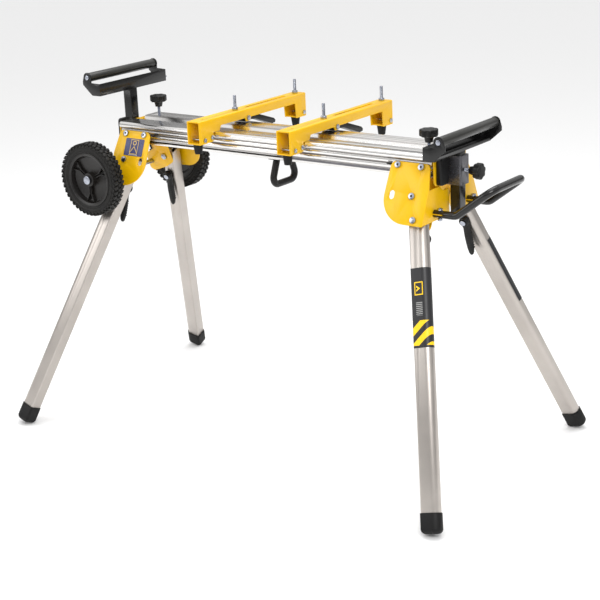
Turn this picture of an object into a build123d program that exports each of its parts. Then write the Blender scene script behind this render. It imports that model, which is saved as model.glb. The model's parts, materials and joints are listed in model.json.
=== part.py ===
"""Folding stand for a mitre saw: beam, plates, legs, wheels, handles, saw brackets and work rests.

Millimetres. +X runs along the beam to the right, +Y to the back, +Z up.
The origin is on the floor at the centre of the four feet.
"""
from build123d import *
import math
import os

os.makedirs("parts", exist_ok=True)

# ---------------------------------------------------------------- driving dimensions
# Beam: one extrusion along X
beam_half = 467.0
beam_bottom = 716.0
beam_top = 773.8
trough_top_half = 23.6
trough_floor_half = 12.0
trough_floor = 758.8
lobes = [(71.0, 766.0, 7.8), (64.0, 752.0, 7.0), (62.0, 739.0, 7.0)]
chamber_y = 44.0
chamber_width = 34.0
chamber_height = 30.0
chamber_z = 738.0
slide_gap = 0.3

# Side plates: two planes that lean outwards going down
lean = 23.0
plate_y = 77.5
plate_z = 745.5
sheet = 3.0
plate_inner_x = 365.0
plate_outer_x = 475.0
plate_corner_x = 466.0
plate_rise = 8.0
plate_drop = 133.6
plate_bolt_x = (383.7, 445.2)
upper_bolt = (435.0, -67.5)
lower_bolt = (449.58, -120.8)
window = (381.3, -69.1)
inner_depth = 54.5
flange_top = 698.5
flange_bottom = 624.0

# Legs: D-section tube between outer and inner plate
splay = 15.3
leg_depth = 31.0
leg_width = 42.0
leg_thickness = 32.0
leg_wall = 2.2
left_leg_head = 26.0
right_leg_head = 20.0
foot_wall = 2.0
foot_base = 14.0
foot_grip = 32.0
sole_height = 8.17
pivot_r = 5.0
running_gap = 0.1

# Leg lock levers
left_lever_drop = 70.0
right_lever_drop = 34.0
lever_angle = 5.0
lever_length = 80.0
lever_thickness = 14.0
lever_stand_off = 10.0
lever_head_r = 12.5
lever_tip_r = 9.5
rivet_r = 4.0

# Wheels
wheel_x = -488.0
wheel_z = 641.0
wheel_r = 95.0
wheel_width = 36.0
wheel_front = 154.0
rim_r = 69.9
axle_r = 6.0

# Arms, sleeves, posts and work rests
sleeve_x = 493.0
sleeve_side = 38.0
sleeve_bottom = 697.0
sleeve_top = 764.0
arm_length = 430.0
post_side = 26.0
post_bottom = 630.0
roller_x = 519.5
roller_z = 817.7
left_rest_raise = 74.3
roller_r = 11.5
rest_half = 127.7
rest_sheet = 2.5
knob_r = 19.0
arm_knob_r = 22.0

# Saw brackets
bracket_x = (-170.7, 102.5)
bracket_width = 39.8
bracket_front = -132.9
bracket_back = 307.6
bracket_top = 807.9
stud_y = (33.2, 288.2)
stud_r = 4.0
stud_neck_r = 5.0
stud_top = 845.0
clamp_pivot = (60.0, 785.0)

# Handles
tow_tube_r = 9.0
tow_y = 75.0
tow_bolt_x = 490.0
carry_tube_r = 8.5

tan_lean = math.tan(math.radians(lean))
SIDE = Plane(
    origin=(0, -plate_y, plate_z),
    x_dir=(1, 0, 0),
    z_dir=(0, -math.cos(math.radians(lean)), math.sin(math.radians(lean))),
)
pieces = {}


def side_point(x, v, depth):
    """World point of a place on the front side plane: along X, up the plane, into the stand."""
    return SIDE.from_local_coords(Vector(x, v, -depth))


def across(part):
    """The same piece at the other end of the beam."""
    return part.mirror(Plane.YZ)


def behind(part):
    """The same piece at the back of the stand."""
    return part.mirror(Plane.XZ)


def keep(name, part):
    """Remember a finished piece under its node name."""
    part.label = name
    pieces[name] = part


def keep_group(name, parts):
    """Remember several separate solids under one node name."""
    keep(name, Compound(children=list(parts)))


def turned(part):
    """The same piece turned half a turn about Z, as the left end repeats the right one."""
    return part.rotate(Axis.Z, 180)


# ---------------------------------------------------------------- beam
with BuildPart() as beam:
    with BuildSketch(Plane.YZ.offset(-beam_half)):
        with BuildLine():
            Polyline(
                (0, trough_floor),
                (trough_floor_half, trough_floor),
                (trough_top_half, beam_top),
                (lobes[0][0], beam_top),
                (lobes[0][0], lobes[0][1]),
                (lobes[1][0], lobes[1][1]),
                (lobes[2][0], lobes[2][1]),
                (lobes[2][0] + 4, lobes[2][1] - 4),
                (52, beam_bottom),
                (0, beam_bottom),
                close=True,
            )
        make_face()
        for lobe_y, lobe_z, lobe_r in lobes:
            with Locations((lobe_y, lobe_z)):
                Circle(lobe_r)
        mirror(about=Plane.YZ)
        with Locations((chamber_y, chamber_z), (-chamber_y, chamber_z)):
            Rectangle(chamber_width, chamber_height, mode=Mode.SUBTRACT)
        with Locations((0, 734)):
            Rectangle(40, 26, mode=Mode.SUBTRACT)
    extrude(amount=2 * beam_half)
    lock_holes = [(447, -47), (-428, 35)]
    with Locations([Location((x, y, beam_top)) for x, y in lock_holes]):
        Cylinder(4.3, 60, mode=Mode.SUBTRACT, align=(Align.CENTER, Align.CENTER, Align.CENTER))
keep("beam_extrusion", beam.part)

with BuildPart() as groove_plugs:
    plug_places = [
        Location((side * (plate_inner_x - 8), back * 73.6, 745.4)) for side in (-1, 1) for back in (-1, 1)
    ]
    with Locations(plug_places):
        Box(12, 6, 4)
keep("groove_plugs", groove_plugs.part)


# ---------------------------------------------------------------- side plates
def outer_plate(tow_tab):
    """Front right outer plate with its end flange; tow_tab adds the tow handle's tab."""
    with BuildPart() as plate:
        with BuildSketch(SIDE.offset(-sheet)):
            with BuildLine():
                FilletPolyline(
                    (plate_inner_x, plate_rise),
                    (plate_corner_x, plate_rise),
                    (plate_outer_x, -50),
                    (plate_outer_x, -plate_drop),
                    (plate_inner_x - 6, -plate_drop),
                    radius=[14, 12, 30, 4, 62],
                    close=True,
                )
            make_face()
            with Locations([(x, 0) for x in plate_bolt_x] + [upper_bolt, lower_bolt]):
                Circle(5.2, mode=Mode.SUBTRACT)
            with Locations(window):
                SlotOverall(21, 14, rotation=90, mode=Mode.SUBTRACT)
        extrude(amount=sheet)
        edge_top = -plate_y - tan_lean * (plate_z - flange_top)
        edge_bottom = -plate_y - tan_lean * (plate_z - flange_bottom)
        with BuildSketch(Plane.YZ.offset(plate_outer_x - sheet)):
            with BuildLine():
                if tow_tab:
                    Polyline(
                        (edge_top, flange_top),
                        (-50, flange_top),
                        (-34, 686),
                        (-8, 686),
                        (-8, flange_bottom),
                        (edge_bottom, flange_bottom),
                        close=True,
                    )
                else:
                    Polyline(
                        (edge_top, flange_top),
                        (edge_top + 56, flange_top),
                        (edge_bottom + 56, flange_bottom),
                        (edge_bottom, flange_bottom),
                        close=True,
                    )
            make_face()
        extrude(amount=sheet)
        if tow_tab:
            with Locations((plate_outer_x + 11, -tow_y, 642)):
                Box(26, 15, sheet)
            with Locations((tow_bolt_x, -tow_y, 642)):
                Cylinder(3.2, 10, mode=Mode.SUBTRACT)
    return plate.part


def inner_plate(outline, radii, bolts, with_axle):
    """Front right inner plate with the flange that meets the beam's underside."""
    with BuildPart() as plate:
        with BuildSketch(SIDE.offset(-inner_depth - sheet)):
            with BuildLine():
                FilletPolyline(*outline, radius=radii, close=True)
            make_face()
            with Locations(bolts):
                Circle(5.2, mode=Mode.SUBTRACT)
        extrude(amount=sheet)
        with Locations((439, -22, beam_bottom - 1.7)):
            Box(54, 28, sheet)
        if with_axle:
            with Locations(Location((-wheel_x, 0, wheel_z), (90, 0, 0))):
                Cylinder(axle_r + 0.2, 400, mode=Mode.SUBTRACT)
    return plate.part


right_front_plate = outer_plate(True)
left_front_plate = across(outer_plate(False))
keep_group("right_outer_plates", [right_front_plate, behind(right_front_plate)])
keep_group("left_outer_plates", [left_front_plate, behind(left_front_plate)])

right_outline = [(412, -12.5), (466, -12.5), (466, -136), (432, -136), (432, -98), (412, -82)]
right_inner_plate = inner_plate(right_outline, [5, 5, 12, 12, 5, 8], [upper_bolt, lower_bolt], False)
left_outline = [(412, -12.5), (464, -12.5), (464, -46), (500, -66), (503, -114), (490, -120), (440, -102), (412, -85)]
left_inner_plate = across(
    inner_plate(left_outline, [5, 5, 8, 14, 8, 6, 14, 12], [upper_bolt], True)
)
front_inner_plates = [right_inner_plate, left_inner_plate]
keep_group("inner_plates", front_inner_plates + [behind(plate) for plate in front_inner_plates])


# ---------------------------------------------------------------- plate bolts
def side_bolt(place, reach, nut_depth, spacers=()):
    """Bolt through a front right side plate: domed head, shank, nut, and any spacers on it."""
    with BuildPart() as bolt:
        with BuildSketch(SIDE.offset(0)):
            with Locations(place):
                Circle(7.5)
        extrude(amount=4.5)
        with BuildSketch(SIDE.offset(-reach)):
            with Locations(place):
                Circle(pivot_r)
        extrude(amount=reach)
        if nut_depth is not None:
            with BuildSketch(SIDE.offset(-nut_depth - 6)):
                with Locations(place):
                    RegularPolygon(8.5, 6)
            extrude(amount=6)
        for near, far in spacers:
            with BuildSketch(SIDE.offset(-far)):
                with Locations(place):
                    Circle(11)
            extrude(amount=far - near)
    return bolt.part


leg_near = leg_depth - leg_thickness / 2
leg_far = leg_depth + leg_thickness / 2
nut_plane = inner_depth + sheet
pivot_spacers = [(sheet, leg_near - 0.3), (leg_far + 0.3, inner_depth)]
left_pivot = across(side_bolt(upper_bolt, nut_plane + 8, nut_plane, pivot_spacers))
right_pivot = side_bolt(lower_bolt, nut_plane + 8, nut_plane, pivot_spacers)
keep_group("leg_pivots", [left_pivot, behind(left_pivot), right_pivot, behind(right_pivot)])

stay = side_bolt(upper_bolt, nut_plane + 8, nut_plane, [(sheet, inner_depth)])
stub = across(side_bolt(lower_bolt, sheet + 7, sheet))
corner_bolts = [side_bolt((x, 0), 5.5, None) for x in plate_bolt_x]
front_bolts = corner_bolts + [across(bolt) for bolt in corner_bolts] + [stay, stub]
side_bolts = front_bolts + [behind(bolt) for bolt in front_bolts]

with BuildPart() as plate_label:
    with BuildSketch(SIDE.offset(0.05)):
        with Locations((-410, -34)):
            RectangleRounded(62, 45, 3)
    extrude(amount=0.4)
keep("plate_label", plate_label.part)


# ---------------------------------------------------------------- legs
def leg_frame(place):
    """Plane across a front right leg at its pivot: X along the plates, Y outwards, Z down the leg."""
    up = SIDE.y_dir
    down = SIDE.x_dir * math.sin(math.radians(splay)) - up * math.cos(math.radians(splay))
    over = SIDE.x_dir * math.cos(math.radians(splay)) + up * math.sin(math.radians(splay))
    return Plane(origin=side_point(place[0], place[1], leg_depth), x_dir=over, z_dir=down)


def leg_outline(grow):
    """D-section: flat inner face, rounded outer face, grown by the given amount."""
    half_width = leg_width / 2 + grow
    half_depth = leg_thickness / 2 + grow
    with BuildSketch() as outline:
        with BuildLine():
            FilletPolyline(
                (-half_width, -half_depth),
                (half_width, -half_depth),
                (half_width, half_depth),
                (-half_width, half_depth),
                radius=[3.5 + grow, 15 + grow, 15 + grow, 3.5 + grow],
                close=True,
            )
        make_face()
    return outline.sketch


def leg_pieces(place, head, lever_drop):
    """Tube, foot, lever and rivet of a front right leg, with its length down to the floor."""
    plane = leg_frame(place)
    drop_per_mm = -plane.z_dir.Z
    length = plane.origin.Z / drop_per_mm - foot_base - sole_height
    outline = leg_outline(0)
    bore = leg_outline(-leg_wall)
    cap = leg_outline(foot_wall)
    socket = leg_outline(0.1)
    turn = 0 if plane.y_dir.dot(SIDE.z_dir) > 0 else 180
    with BuildPart() as tube:
        with BuildSketch(plane.offset(-head)):
            add(outline, rotation=turn)
            add(bore, rotation=turn, mode=Mode.SUBTRACT)
        extrude(amount=head + length)
        with BuildSketch(SIDE.offset(-leg_far - 5)):
            with Locations(place):
                Circle(pivot_r + running_gap)
        extrude(amount=leg_thickness + 10, mode=Mode.SUBTRACT)
        with BuildSketch(SIDE.offset(-leg_far - 5)):
            with Locations(Location((place[0], place[1], 0), (0, 0, splay))):
                Rectangle(leg_width + 20, head + 20, align=(Align.CENTER, Align.MIN))
                Circle(leg_width / 2, mode=Mode.SUBTRACT)
        extrude(amount=leg_thickness + 10, mode=Mode.SUBTRACT)
        lever_place = lever_spot(place, lever_drop)
        with BuildSketch(SIDE.offset(-leg_far - 5)):
            with Locations(lever_place):
                Circle(rivet_r + 0.2)
        extrude(amount=12, mode=Mode.SUBTRACT)
    with BuildPart() as foot:
        with BuildSketch(plane.offset(length - foot_grip)):
            add(cap, rotation=turn)
        extrude(amount=foot_grip + foot_base)
        sole = foot.faces().sort_by(Axis((0, 0, 0), tuple(plane.z_dir)))[-1]
        fillet(sole.edges(), radius=11)
        with BuildSketch(plane.offset(length - foot_grip)):
            add(socket, rotation=turn)
        extrude(amount=foot_grip, mode=Mode.SUBTRACT)
    return tube.part, foot.part


def lever_spot(place, lever_drop):
    """Where the lever's rivet sits on the leg's line, in the side plane."""
    return (
        place[0] + lever_drop * math.sin(math.radians(splay)),
        place[1] - lever_drop * math.cos(math.radians(splay)),
    )


def lever_pieces(place, lever_drop):
    """Lock lever on the inner face of a front right leg, and the rivet that it turns on."""
    head = lever_spot(place, lever_drop)
    tip = (
        head[0] + lever_length * math.sin(math.radians(lever_angle)),
        head[1] - lever_length * math.cos(math.radians(lever_angle)),
    )
    near = leg_far + 0.4
    down = SIDE.x_dir * (tip[0] - head[0]) + SIDE.y_dir * (tip[1] - head[1])
    edge_on = Plane(origin=side_point(head[0], head[1], near), x_dir=down, z_dir=SIDE.z_dir.cross(down))
    tip_run = lever_length + lever_tip_r
    bend_run = lever_head_r + 4
    rise = (tip_run - bend_run) * math.tan(math.radians(lever_stand_off))
    with BuildPart() as lever:
        with BuildSketch(SIDE.offset(-near - lever_thickness - rise)):
            with BuildSketch(mode=Mode.PRIVATE) as ends:
                with Locations(head):
                    Circle(lever_head_r)
                with Locations(tip):
                    Circle(lever_tip_r)
            add(make_hull(ends.sketch.edges(), mode=Mode.PRIVATE))
            with Locations(head):
                Circle(rivet_r + running_gap, mode=Mode.SUBTRACT)
        extrude(amount=lever_thickness + rise)
        with BuildSketch(edge_on):
            with BuildLine():
                Polyline(
                    (-lever_head_r - 1, 0),
                    (bend_run, 0),
                    (tip_run + 1, rise),
                    (tip_run + 1, rise + lever_thickness - 2),
                    (bend_run, lever_thickness),
                    (-lever_head_r - 1, lever_thickness),
                    close=True,
                )
            make_face()
        extrude(amount=lever_head_r + 1, both=True, mode=Mode.INTERSECT)
    with BuildPart() as rivet:
        with BuildSketch(SIDE.offset(-near - lever_thickness - 3)):
            with Locations(head):
                Circle(7)
        extrude(amount=2.7)
        with BuildSketch(SIDE.offset(-near - lever_thickness - 1)):
            with Locations(head):
                Circle(rivet_r)
        extrude(amount=lever_thickness + 5)
        with BuildSketch(SIDE.offset(-leg_far + leg_wall + 0.1)):
            with Locations(head):
                Circle(6)
        extrude(amount=2.5)
    return lever.part, rivet.part


leg_sets = {
    "right": (lower_bolt, right_leg_head, right_lever_drop),
    "left": (upper_bolt, left_leg_head, left_lever_drop),
}
for end, (place, head, lever_drop) in leg_sets.items():
    tube, foot = leg_pieces(place, head, lever_drop)
    lever, rivet = lever_pieces(place, lever_drop)
    for piece_name, shape in (("leg", tube), ("foot", foot), ("leg_lever", lever), ("leg_lever_rivet", rivet)):
        front_shape = shape if end == "right" else across(shape)
        keep(f"{end}_front_{piece_name}", front_shape)
        keep(f"{end}_back_{piece_name}", behind(front_shape))


# ---------------------------------------------------------------- wheels
def wheel_pieces():
    """Tyre and rim of the front wheel."""
    middle = -wheel_front - wheel_width / 2
    hub = Plane(origin=(wheel_x, middle, wheel_z), x_dir=(1, 0, 0), z_dir=(0, -1, 0))
    half = wheel_width / 2
    with BuildPart() as tyre:
        with BuildSketch(Plane.XY):
            with BuildLine():
                FilletPolyline(
                    (rim_r + 0.1, -half + 3),
                    (rim_r + 12, -half),
                    (wheel_r, -half + 2),
                    (wheel_r, half - 2),
                    (rim_r + 12, half),
                    (rim_r + 0.1, half - 3),
                    radius=[1, 6, 6, 6, 6, 1],
                    close=True,
                )
            make_face()
        revolve(axis=Axis.Y)
        with PolarLocations(wheel_r + 1, 36):
            with Locations(Location((0, 9, 0)), Location((0, -9, 0))):
                Box(8, 6, 3, mode=Mode.SUBTRACT)
    with BuildPart() as rim:
        with BuildSketch(Plane.XY):
            with BuildLine():
                Polyline(
                    (axle_r + running_gap, -half + 2),
                    (17, -half + 2),
                    (17, -3),
                    (60, -3),
                    (60, -half + 5),
                    (rim_r, -half + 5),
                    (rim_r, half - 5),
                    (60, half - 5),
                    (60, 3),
                    (17, 3),
                    (17, half - 2),
                    (axle_r + running_gap, half - 2),
                    close=True,
                )
            make_face()
        revolve(axis=Axis.Y)
        for angle in range(0, 360, 60):
            rib = Plane.XY.rotated((0, angle, 0))
            with BuildSketch(Plane(origin=(0, 0, 0), x_dir=rib.x_dir, z_dir=rib.z_dir)):
                with Locations((38.5, 0)):
                    Rectangle(45, 22)
            extrude(amount=3, both=True)
    place = hub.location * Location((0, 0, 0), (90, 0, 0))
    return tyre.part.moved(place), rim.part.moved(place)


front_tyre, front_rim = wheel_pieces()
keep("front_tyre", front_tyre)
keep("front_rim", front_rim)
keep("back_tyre", behind(front_tyre))
keep("back_rim", behind(front_rim))

with BuildPart() as wheel_axle:
    with Locations(Location((wheel_x, 0, wheel_z), (90, 0, 0))):
        Cylinder(axle_r, 2 * (wheel_front + wheel_width))
    cap_y = wheel_front + wheel_width - 0.4
    with Locations(
        Location((wheel_x, cap_y + 2, wheel_z), (90, 0, 0)), Location((wheel_x, -cap_y - 2, wheel_z), (90, 0, 0))
    ):
        Cylinder(11, 5)
    shoulder_y = wheel_front - 3
    with Locations(
        Location((wheel_x, shoulder_y - 10, wheel_z), (90, 0, 0)),
        Location((wheel_x, 10 - shoulder_y, wheel_z), (90, 0, 0)),
    ):
        Cylinder(10, 24)
keep("wheel_axle", wheel_axle.part)


# ---------------------------------------------------------------- handles
with BuildPart() as carry_handle:
    loop_top = (26.3, beam_bottom)
    loop_low = (51.0, 657.8)
    with BuildLine():
        FilletPolyline(
            (0, -loop_top[0], loop_top[1] - 5),
            (0, -loop_low[0], 648.5),
            (0, loop_low[0], 648.5),
            (0, loop_top[0], loop_top[1] - 5),
            radius=17,
        )
    with BuildSketch(Plane(origin=(0, -loop_top[0], loop_top[1] - 5), x_dir=(1, 0, 0), z_dir=(0, -0.35, -0.94))):
        Circle(carry_tube_r)
    sweep()
    with Locations((0, 0, beam_bottom - 2.5)):
        Box(30, 82, 4.4)
keep("carry_handle", carry_handle.part)

with BuildPart() as tow_handle:
    with BuildLine() as tow_path:
        FilletPolyline(
            (476, -tow_y, 642),
            (532, -tow_y, 642),
            (622, -tow_y, 709.5),
            (622, tow_y, 709.5),
            (532, tow_y, 642),
            (476, tow_y, 642),
            radius=[24, 26, 26, 24],
        )
    with BuildSketch(Plane(origin=(476, -tow_y, 642), z_dir=(1, 0, 0))):
        Circle(tow_tube_r)
    sweep()
    with Locations((480, -tow_y, 642), (480, tow_y, 642)):
        Box(46, 24, sheet + 0.4, mode=Mode.SUBTRACT)
    with Locations((tow_bolt_x, -tow_y, 642), (tow_bolt_x, tow_y, 642)):
        Cylinder(3.2, 30, mode=Mode.SUBTRACT)
keep("tow_handle", tow_handle.part)

with BuildPart() as tow_bolts:
    for y in (-tow_y, tow_y):
        with Locations((tow_bolt_x, y, 641)):
            Cylinder(3, 30)
        with Locations((tow_bolt_x, y, 642 + tow_tube_r + 2.2)):
            Cylinder(6.5, 4)
        with Locations((tow_bolt_x, y, 642 - tow_tube_r - 2.7)):
            Cylinder(5.5, 5)
keep_group("stand_bolts", side_bolts + list(tow_bolts.part.solids()))


# ---------------------------------------------------------------- extension arms
def arm_tube():
    """Right arm tube, which slides in the beam's front chamber."""
    with BuildPart() as tube:
        with BuildSketch(Plane.YZ.offset(beam_half + 3.5)):
            with Locations((-chamber_y, chamber_z)):
                Rectangle(chamber_width - 2 * slide_gap, chamber_height - 2 * slide_gap)
                Rectangle(chamber_width - 6, chamber_height - 6, mode=Mode.SUBTRACT)
        extrude(amount=-arm_length)
    return tube.part


def end_plate():
    """Right end plate, welded to the arm tube's end."""
    with BuildPart() as plate:
        with BuildSketch(Plane.YZ.offset(beam_half + 3.6)):
            with Locations((0, 735)):
                RectangleRounded(142, 70, 14)
        extrude(amount=sheet)
    return plate.part


def sleeve():
    """Square sleeve on the end plate, with the hole for the knob's screw on its outer side."""
    with BuildPart() as tube:
        with BuildSketch(Plane.XY.offset(sleeve_bottom)):
            with Locations((sleeve_x, 0)):
                RectangleRounded(sleeve_side, sleeve_side, 4)
                Rectangle(post_side + 0.8, post_side + 0.8, mode=Mode.SUBTRACT)
        extrude(amount=sleeve_top - sleeve_bottom)
    return tube.part


def screw_hole(part, location):
    """The part with an 8.6 mm hole at a location."""
    with BuildPart() as drilled:
        add(part)
        with Locations(location):
            Cylinder(4.3, 16, mode=Mode.SUBTRACT)
    return drilled.part


def arm_cap(low, high):
    """Black cap on the front of a right end plate, between two heights."""
    with BuildPart() as cap:
        with BuildSketch(Plane.YZ.offset(beam_half + 3.7 + sheet)):
            with Locations((-44.5, (low + high) / 2)):
                RectangleRounded(37, high - low, 8)
        extrude(amount=13)
        fillet(cap.faces().sort_by(Axis.X)[-1].edges(), radius=3)
    return cap.part


def star_knob(radius, head_height, hub_height, screw_length):
    """Lobed knob standing on Z: screw from the origin down, hub and head above it."""
    with BuildPart() as knob:
        with BuildSketch(Plane.XY.offset(hub_height)):
            Circle(radius)
            with PolarLocations(radius + 3.4, 7):
                Circle(6, mode=Mode.SUBTRACT)
        extrude(amount=head_height)
        with BuildSketch(Plane.XY):
            Circle(8.5)
        extrude(amount=hub_height)
        with BuildSketch(Plane.XY.offset(-screw_length)):
            Circle(4.0)
        extrude(amount=screw_length)
    return knob.part


right_cap = arm_cap(702, 764)
left_cap = across(arm_cap(719, 778))
keep("right_arm_tube", arm_tube())
keep("left_arm_tube", turned(arm_tube()))
keep("right_end_plate", end_plate())
keep("left_end_plate", across(end_plate()))
keep("right_arm_cap", right_cap)
keep("left_arm_cap", left_cap)

knob_z = 730.4
right_knob_place = Location((sleeve_x + sleeve_side / 2 + 13, 0, knob_z), (0, 90, 0))
left_knob_place = Location((-sleeve_x, sleeve_side / 2 + 13, knob_z), (-90, 0, 0))
right_sleeve = screw_hole(sleeve(), Location((sleeve_x + sleeve_side / 2, 0, knob_z), (0, 90, 0)))
left_sleeve = screw_hole(across(sleeve()), Location((-sleeve_x, sleeve_side / 2, knob_z), (90, 0, 0)))
keep("right_sleeve", right_sleeve)
keep("left_sleeve", left_sleeve)
sleeve_knob = star_knob(knob_r, 17, 14, 18.5)
keep("right_sleeve_knob", sleeve_knob.moved(right_knob_place))
keep("left_sleeve_knob", sleeve_knob.moved(left_knob_place))

arm_knob = star_knob(arm_knob_r, 17, 18, 39)
for name, (x, y) in zip(("right_arm_knob", "left_arm_knob"), lock_holes):
    keep(name, arm_knob.moved(Location((x, y, 793))))


# ---------------------------------------------------------------- work rests
def rest_pieces():
    """Post, roller frame, roller and roller axle of the right work rest, at its own height."""
    post_top = roller_z - 45
    with BuildPart() as post:
        with BuildSketch(Plane.XY.offset(post_bottom)):
            with Locations((sleeve_x, 0)):
                RectangleRounded(post_side, post_side, 2)
                Rectangle(post_side - 4, post_side - 4, mode=Mode.SUBTRACT)
        extrude(amount=post_top - post_bottom - 0.1)
    with BuildPart() as frame:
        for front, amount in ((-rest_half, rest_sheet), (rest_half, -rest_sheet)):
            with BuildSketch(Plane(origin=(roller_x, front, roller_z), x_dir=(1, 0, 0), z_dir=(0, -1, 0))):
                with BuildLine():
                    Polyline(
                        (12.5, 2),
                        (16.5, -10),
                        (16.5, -19),
                        (-6, -39),
                        (-14, -45),
                        (-40.5, -45),
                        (-40.5, -14),
                        (-24.5, -13.5),
                        (-11.5, -13),
                        (-12.5, 2),
                        close=True,
                    )
                make_face()
                Circle(12.8)
                Circle(4.2, mode=Mode.SUBTRACT)
            extrude(amount=-amount)
        with BuildSketch(Plane.XZ.offset(-rest_half + rest_sheet / 2)):
            with BuildLine():
                Polyline(
                    (roller_x - 40.5, roller_z - 45),
                    (roller_x - 12, roller_z - 45),
                    (roller_x - 12, roller_z - 38),
                    (roller_x - 14, roller_z - 38),
                    (roller_x - 14, roller_z - 43),
                    (roller_x - 38.5, roller_z - 43),
                    (roller_x - 38.5, roller_z - 14),
                    (roller_x - 40.5, roller_z - 14),
                    close=True,
                )
            make_face()
        extrude(amount=2 * rest_half - rest_sheet)
    across_y = Location((roller_x, 0, roller_z), (90, 0, 0))
    roller_half = rest_half - rest_sheet - 0.5
    with BuildPart() as roller:
        with Locations(across_y):
            Cylinder(roller_r, 2 * roller_half)
            Cylinder(rivet_r + running_gap, 2 * roller_half + 2, mode=Mode.SUBTRACT)
    with BuildPart() as axle:
        with Locations(across_y):
            Cylinder(rivet_r, 2 * rest_half)
        with Locations(
            Location((roller_x, rest_half + 1.1, roller_z), (90, 0, 0)),
            Location((roller_x, -rest_half - 1.1, roller_z), (90, 0, 0)),
        ):
            Cylinder(6, 2)
    return {"post": post.part, "roller_frame": frame.part, "roller": roller.part, "roller_axle": axle.part}


for piece_name, shape in rest_pieces().items():
    keep(f"right_{piece_name}", shape)
    raised = across(shape).moved(Location((0, 0, left_rest_raise)))
    keep(f"left_{piece_name}", raised)

with BuildPart() as stop_finger:
    finger_z = roller_z + left_rest_raise - 36
    with Locations((-roller_x + 30, rest_half + 7.2, finger_z)):
        Box(6, 14, 3)
    fillet(stop_finger.faces().sort_by(Axis.Y)[-1].edges().filter_by(Axis.Z), radius=2.5)
keep("left_stop_finger", stop_finger.part)


# ---------------------------------------------------------------- saw brackets
def bracket_pieces(x):
    """Channel, pins, studs, cone feet and clamp lever of one saw bracket, centred at x."""
    half = bracket_width / 2
    seat = beam_top + 0.4
    front_bottom = 750.7
    back_bottom = 746.5
    with BuildPart() as channel:
        with BuildSketch(Plane.YZ.offset(x - half)):
            with BuildLine():
                Polyline(
                    (bracket_front, bracket_top),
                    (bracket_back, bracket_top),
                    (bracket_back, back_bottom),
                    (266, back_bottom),
                    (262, 786),
                    (72, 786),
                    (68, 777),
                    (52, 777),
                    (48, 786),
                    (-50, 786),
                    (-56, seat),
                    (-81, seat),
                    (-81, 753),
                    (-90, 751),
                    (bracket_front, front_bottom),
                    close=True,
                )
            make_face()
        extrude(amount=bracket_width)
        fillet(channel.edges().filter_by(Axis.Y).group_by(Axis.Z)[-1], radius=3)
        inside = bracket_width - 2 * sheet
        with Locations((x, (bracket_front + bracket_back - sheet) / 2 - 3, (740 + bracket_top - sheet) / 2)):
            Box(inside, bracket_back - bracket_front - sheet + 6, bracket_top - sheet - 740, mode=Mode.SUBTRACT)
        with Locations((x, bracket_front + 16, front_bottom + sheet / 2), (x, 286, back_bottom + sheet / 2)):
            Box(inside + 1, 32, sheet)
        with Locations((x, 160, bracket_top)):
            Box(9, 170, 12, mode=Mode.SUBTRACT)
        with Locations((x, -96, bracket_top)):
            Cylinder(3, 12, mode=Mode.SUBTRACT)
        with Locations([(x, y, bracket_top) for y in stud_y]):
            Cylinder(stud_neck_r + 0.1, 12, mode=Mode.SUBTRACT)
        side_holes = [(-87, 762.5, 3.2), (-115, 760, 3.2), (clamp_pivot[0], clamp_pivot[1], 4.2), (298, 757, 3.2)]
        for y, z, r in side_holes:
            with Locations(Location((x, y, z), (0, 90, 0))):
                Cylinder(r, bracket_width + 4, mode=Mode.SUBTRACT)
    with BuildPart() as fasteners:
        for y, z, r in side_holes:
            shank = r - 0.2
            with Locations(Location((x, y, z), (0, 90, 0))):
                Cylinder(shank, bracket_width + 2)
            with Locations(
                Location((x + half + 1.6, y, z), (0, 90, 0)), Location((x - half - 1.6, y, z), (0, 90, 0))
            ):
                Cylinder(shank + 2.4, 3)
        for y in stud_y:
            with Locations((x, y, (bracket_top + 1 + stud_top) / 2)):
                Cylinder(stud_r, stud_top - bracket_top - 1)
            with Locations((x, y, bracket_top - 1.5)):
                Cylinder(stud_neck_r, 5)
            with Locations((x, y, bracket_top + 3.4)):
                Cylinder(7.5, 6.6)
            with Locations((x, y, bracket_top - sheet - 2.6)):
                Cylinder(8, 5)
    with BuildPart() as cones:
        for y, z in ((-118, front_bottom), (286, back_bottom)):
            with BuildSketch(Plane.XY.offset(z - 0.05)):
                with Locations((x, y)):
                    Circle(12.5)
            with BuildSketch(Plane.XY.offset(z - 25)):
                with Locations((x, y)):
                    Circle(9)
            loft()
    with BuildPart() as clamp:
        with BuildSketch(Plane.YZ.offset(x - 13)):
            with Locations(clamp_pivot):
                Circle(10)
            with BuildLine():
                Polyline(
                    (60, 794),
                    (100, 789),
                    (176, 763),
                    (182, 757),
                    (180, 751),
                    (168, 750),
                    (98, 775),
                    (66, 778),
                    close=True,
                )
            make_face()
            with Locations(clamp_pivot):
                Circle(rivet_r + running_gap, mode=Mode.SUBTRACT)
        extrude(amount=26)
    return {
        "saw_bracket": channel.part,
        "bracket_fasteners": fasteners.part,
        "cone_feet": cones.part,
        "clamp_lever": clamp.part,
    }


for end, x in zip(("left", "right"), bracket_x):
    for piece_name, shape in bracket_pieces(x).items():
        keep(f"{end}_{piece_name}", shape)

for name, piece in pieces.items():
    export_step(piece, f"parts/{name}.step")
print(len(pieces), "nodes")
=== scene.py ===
"""Visual model of a folding mitre saw stand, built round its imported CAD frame. Metres, +Z up."""

import json
import logging
import math
from dataclasses import dataclass, field
from enum import Enum
from typing import Iterable, Sequence

import bmesh
import bpy
from mathutils import Matrix, Vector


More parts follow.
